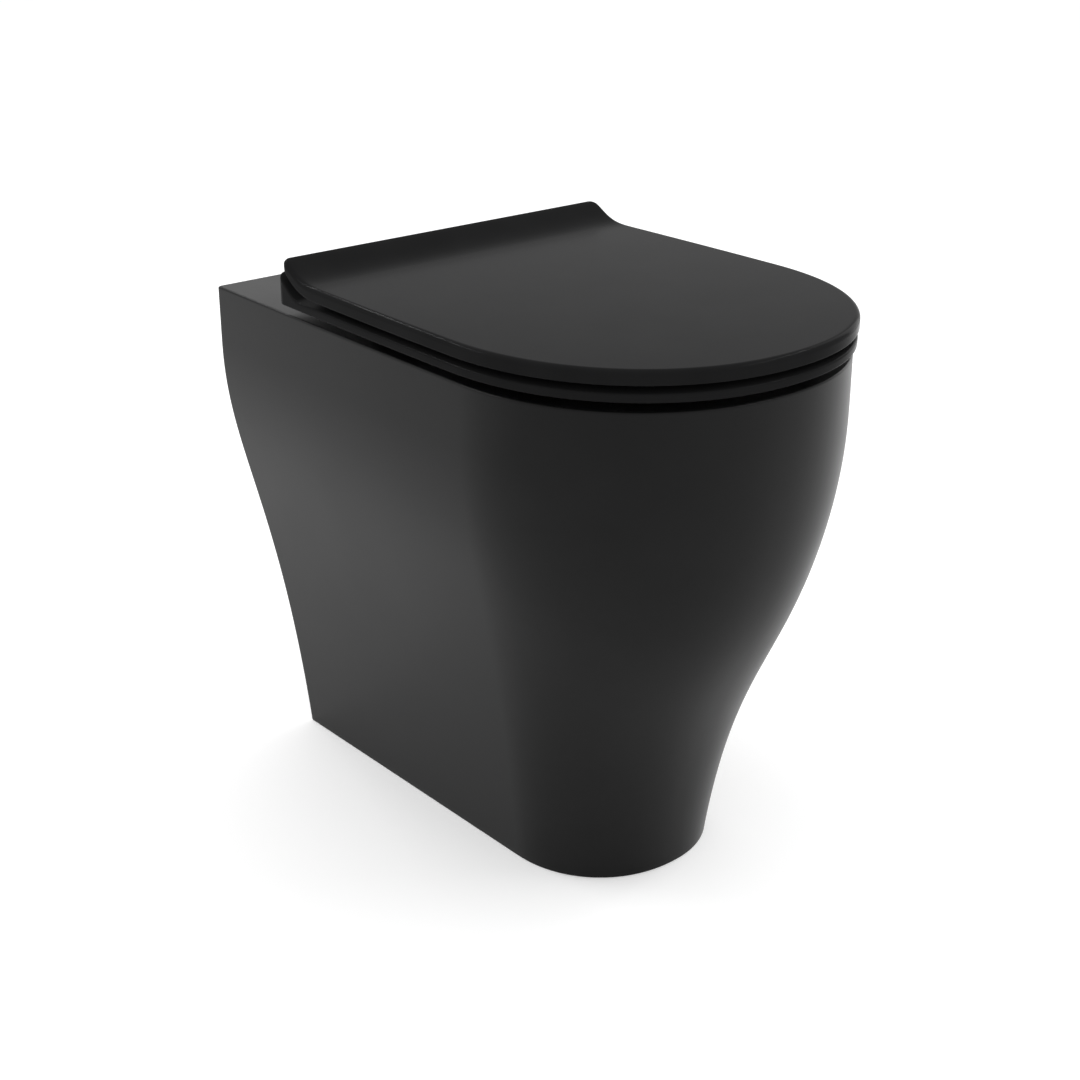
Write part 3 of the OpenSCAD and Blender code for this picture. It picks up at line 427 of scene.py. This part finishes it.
# Room for the hinges in the back of the seat
PILLAR_OUT, PILLAR_IN, BARREL = 89.5, 65.5, 26.0
notch = (PILLAR_IN - 0.5 - BARREL - 0.5, PILLAR_OUT + 0.5 + BARREL + 0.5)
notch_front = AXIS_D + 14.0 + 7.0 + 2.5
LOW, HIGH = RIM - 6.0, LID_TOP + LID_RISE + 14.7
cuts = []
for name, s in (("r", 1), ("l", -1)):
    span = (lambda a, b: (a, b) if s > 0 else (-b, -a))
    cuts.append(block("notch_" + name, span(*notch), (SEAT_REAR - 5, notch_front), (LOW, HIGH)))
    cuts.append(block("pocket_" + name, span(PILLAR_OUT, notch[1]), (notch_front - 1, 176.1),
                      (SEAT_UNDER - 3, SEAT_UNDER + 6.1)))
    cuts.append(block("channel_" + name, span(notch[0], PILLAR_IN), (notch_front - 1, 179.0),
                      (LID_UNDER - 9.5, HIGH)))
    cuts.append(block("hollow_" + name, span(notch[1] + 5, PAN_HALF - 8), (SEAT_REAR + 6, 128),
                      (LOW, SEAT_TOP + 2)))
boolean(seat, cuts, "DIFFERENCE")
shade(seat, 35)
weigh_normals(seat)
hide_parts("seat_ring")
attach(seat, "seat")

# Lid
LID_REAR, LIP = 116.0, 5.0


def lid_ring(inset, z, part="top"):
    """Ring of the lid's top, of the lower side of its lip, or of the plate's underside."""
    ring = []
    for x, d in lid_like(inset, LID_REAR + inset, max(9.0 - inset, 1.0)):
        share = smooth((76.0 - abs(x)) / 8.0) if part == "under" else 0.0
        h = z + LID_RISE * mix(rise(d), hinge_rise(d), share)
        if part == "lip":
            thin = clamp((LID_REAR + 16 - (d - inset)) / 16.0) ** 2
            h += (LID_UNDER - 0.5 - LID_EDGE) * thin
        ring.append(at(x, d, h))
    return ring


INSETS = (9.0, 13.0, 17.0, 21.0, 25.0, 29.5, 34.0, 39.0, 44.0, 49.0, 54.0, 58.0, 62.0)
rings = [lid_ring(s, LID_TOP) for s in reversed((5.0, 6.5) + INSETS)]
TOP_R = 4.5
for i in range(0, 9):
    a = radians(90 * i / 8)
    rings.append(lid_ring(TOP_R * (1 - sin(a)), LID_TOP - TOP_R * (1 - cos(a))))
rings += [lid_ring(0.0, LID_TOP - 5.0), lid_ring(0.0, LID_EDGE + 3.5, "lip")]
for i in range(0, 5):
    a = radians(22.5 * i)
    rings.append(lid_ring(1.2 - 1.2 * cos(a), LID_EDGE + 1.2 - 1.2 * sin(a), "lip"))
rings += [lid_ring(s, LID_EDGE, "lip") for s in (2.5, 4.4)]
rings += [lid_ring(LIP, LID_EDGE + 0.6, "lip"), lid_ring(LIP + 0.2, LID_UNDER + 0.2, "under")]
rings += [lid_ring(s, LID_UNDER, "under") for s in INSETS]
lid = solid("lid", rings)
shade(lid, 35)
weigh_normals(lid)
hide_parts("lid_shell")
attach(lid, "lid")


# Materials
def material(name, base, spread, roughness, rough_spread, scale, bump, metallic=0.0, specular=0.5,
             stretch=(1, 1, 1), grain=900.0):
    """Cloudy colour and roughness over the surface, with a fine grain as bump."""
    m = bpy.data.materials.new(name)
    m.use_nodes = True
    tree = m.node_tree
    shader = tree.nodes["Principled BSDF"]
    shader.inputs["Metallic"].default_value = metallic
    shader.inputs["Specular IOR Level"].default_value = specular
    coords = tree.nodes.new("ShaderNodeTexCoord")
    mapping = tree.nodes.new("ShaderNodeMapping")
    mapping.inputs["Scale"].default_value = stretch
    tree.links.new(coords.outputs["Object"], mapping.inputs["Vector"])

    def noise(size, detail):
        n = tree.nodes.new("ShaderNodeTexNoise")
        n.inputs["Scale"].default_value = size
        n.inputs["Detail"].default_value = detail
        tree.links.new(mapping.outputs["Vector"], n.inputs["Vector"])
        return n

    cloud, fine = noise(scale, 3.0), noise(grain, 2.0)
    ramp = tree.nodes.new("ShaderNodeValToRGB")
    ramp.color_ramp.elements[0].position = 0.3
    ramp.color_ramp.elements[1].position = 0.7
    ramp.color_ramp.elements[0].color = [c * (1 - spread) for c in base] + [1]
    ramp.color_ramp.elements[1].color = [c * (1 + spread) for c in base] + [1]
    tree.links.new(cloud.outputs["Fac"], ramp.inputs["Fac"])
    tree.links.new(ramp.outputs["Color"], shader.inputs["Base Color"])
    rough = tree.nodes.new("ShaderNodeMapRange")
    rough.inputs["From Min"].default_value = 0.3
    rough.inputs["From Max"].default_value = 0.7
    rough.inputs["To Min"].default_value = roughness - rough_spread
    rough.inputs["To Max"].default_value = roughness + rough_spread
    tree.links.new(cloud.outputs["Fac"], rough.inputs["Value"])
    tree.links.new(rough.outputs["Result"], shader.inputs["Roughness"])
    bumps = tree.nodes.new("ShaderNodeBump")
    bumps.inputs["Strength"].default_value = bump
    bumps.inputs["Distance"].default_value = 0.0002
    tree.links.new(fine.outputs["Fac"], bumps.inputs["Height"])
    tree.links.new(bumps.outputs["Normal"], shader.inputs["Normal"])
    return m


looks = {
    "black_glaze": material("glaze", (0.0075, 0.0075, 0.0076), 0.12, 0.33, 0.02, 14.0, 0.06, specular=0.106,
                            grain=500.0),
    "black_seat": material("seat_plastic", (0.0115, 0.0115, 0.0117), 0.08, 0.15, 0.01, 20.0, 0.03,
                           specular=0.0093, grain=1200.0),
    "steel": material("steel", (0.55, 0.55, 0.57), 0.06, 0.3, 0.06, 60.0, 0.12, metallic=1.0,
                      stretch=(1, 8, 8), grain=700.0),
    "rubber": material("rubber", (0.02, 0.02, 0.021), 0.15, 0.7, 0.06, 90.0, 0.3, specular=0.3),
    "hinge_plastic": material("hinge_plastic", (0.022, 0.022, 0.023), 0.1, 0.5, 0.05, 60.0, 0.15, specular=0.4),
    "brass": material("brass", (0.62, 0.44, 0.19), 0.08, 0.32, 0.06, 80.0, 0.1, metallic=1.0),
}
slot_of = {s["node"]: s["material_slot"] for s in frame["record"]["subparts"]}
for obj in (pan, seat, lid):
    obj.data.materials.clear()
    obj.data.materials.append(looks["black_glaze" if obj is pan else "black_seat"])
for name, obj in frame["nodes"].items():
    if name in ("ceramic_pan", "seat_ring", "lid_shell"):
        continue
    obj.data.materials.clear()
    obj.data.materials.append(looks[slot_of[name]])
    shade(obj, 30)

# Floor, white surroundings and soft light
def shown_to_camera(tree):
    """1 for rays from the camera, and for what gloss and glass show."""
    path = tree.nodes.new("ShaderNodeLightPath")
    out = path.outputs["Is Camera Ray"]
    for other in ("Is Glossy Ray", "Is Transmission Ray"):
        most = tree.nodes.new("ShaderNodeMath")
        most.operation = "MAXIMUM"
        tree.links.new(out, most.inputs[0])
        tree.links.new(path.outputs[other], most.inputs[1])
        out = most.outputs[0]
    return out


white = bpy.data.materials.new("floor")
white.use_nodes = True
tree = white.node_tree
paint = tree.nodes["Principled BSDF"]
paint.inputs["Base Color"].default_value = (0.9, 0.9, 0.9, 1)
paint.inputs["Roughness"].default_value = 0.9
paint.inputs["Specular IOR Level"].default_value = 0.0
paint.inputs["Emission Color"].default_value = (1, 1, 1, 1)
lift = tree.nodes.new("ShaderNodeMath")
lift.operation = "MULTIPLY"
lift.inputs[1].default_value = 0.24
tree.links.new(shown_to_camera(tree), lift.inputs[0])
tree.links.new(lift.outputs[0], paint.inputs["Emission Strength"])
edge = 30
corners = ((-edge, -edge), (edge, -edge), (edge, edge), (-edge, edge))
floor = solid("floor", [[Vector((x, y, z)) for x, y in corners] for z in (-0.02, -0.0002)])
floor.data.materials.append(white)

world = bpy.data.worlds.new("world")
bpy.context.scene.world = world
world.use_nodes = True
tree = world.node_tree
tree.nodes.clear()
out = tree.nodes.new("ShaderNodeOutputWorld")
shown, lit = tree.nodes.new("ShaderNodeBackground"), tree.nodes.new("ShaderNodeBackground")
shown.inputs["Color"].default_value = (1, 1, 1, 1)
shown.inputs["Strength"].default_value = 1.0
lit.inputs["Color"].default_value = (1, 1, 1, 1)
lit.inputs["Strength"].default_value = 0.85
both = tree.nodes.new("ShaderNodeMixShader")
tree.links.new(shown_to_camera(tree), both.inputs[0])
tree.links.new(lit.outputs[0], both.inputs[1])
tree.links.new(shown.outputs[0], both.inputs[2])
tree.links.new(both.outputs[0], out.inputs["Surface"])


def lamp(name, place, target, size, power):
    data = bpy.data.lights.new(name, "AREA")
    data.shape = "RECTANGLE"
    data.size, data.size_y = size
    data.energy = power
    obj = bpy.data.objects.new(name, data)
    obj.location = place
    obj.rotation_euler = (Vector(target) - Vector(place)).to_track_quat("-Z", "Y").to_euler()
    bpy.context.scene.collection.objects.link(obj)


lamp("top_light", (-0.4, 0.6, 2.6), (0, 0, 0.3), (2.0, 2.0), 4.0)
lamp("right_light", (2.2, 0.2, 1.1), (0, 0, 0.3), (0.8, 2.0), 9.0)
lamp("left_light", (-2.0, 1.2, 1.2), (0, 0, 0.3), (0.8, 2.0), 1.5)
# Narrow lamps for the fine highlights along the rounded edges of the seat and lid
lamp("edge_light_back", (-0.9, 2.1, 2.3), (0, 0, 0.48), (2.4, 0.08), 24.0)
lamp("edge_light_front", (1.77, -1.17, 2.6), (0, 0, 0.48), (2.4, 0.08), 24.0)

bpy.context.scene.view_settings.view_transform = "Standard"
